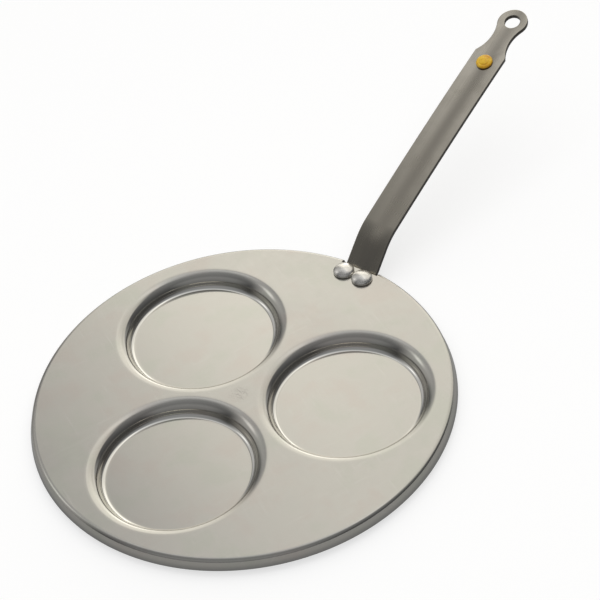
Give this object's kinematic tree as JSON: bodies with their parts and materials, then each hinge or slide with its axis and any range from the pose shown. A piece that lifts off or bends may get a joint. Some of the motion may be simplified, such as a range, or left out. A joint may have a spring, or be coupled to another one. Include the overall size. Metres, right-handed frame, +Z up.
{
  "type": "three-hole blini pan",
  "caption": "Round pressed-steel pan with shallow round wells for blini, a turned-down rim and a riveted flat strip handle that ends in a hanging eye.",
  "frame": {"origin": "on the table under the middle of the overall length and width; the plate's axis is at y = -0.100 m", "axes": "+Y from the plate towards the handle's eye, +Z up from the table, +X to the right as seen from the plate with the handle ahead"},
  "size_m": [0.27, 0.4704, 0.0842],
  "materials": {
    "satin_steel": "satin, uncoated carbon steel with a faint warm tint",
    "dark_steel": "satin, darker gunmetal grey",
    "bright_steel": "polished rivet steel",
    "golden_button": "glossy golden yellow"
  },
  "bodies": {
    "root": {"pan_plate": "satin_steel", "handle_strip": "dark_steel", "rivet_left": "bright_steel", "rivet_right": "bright_steel", "handle_button": "golden_button"}
  },
  "joints": []
}
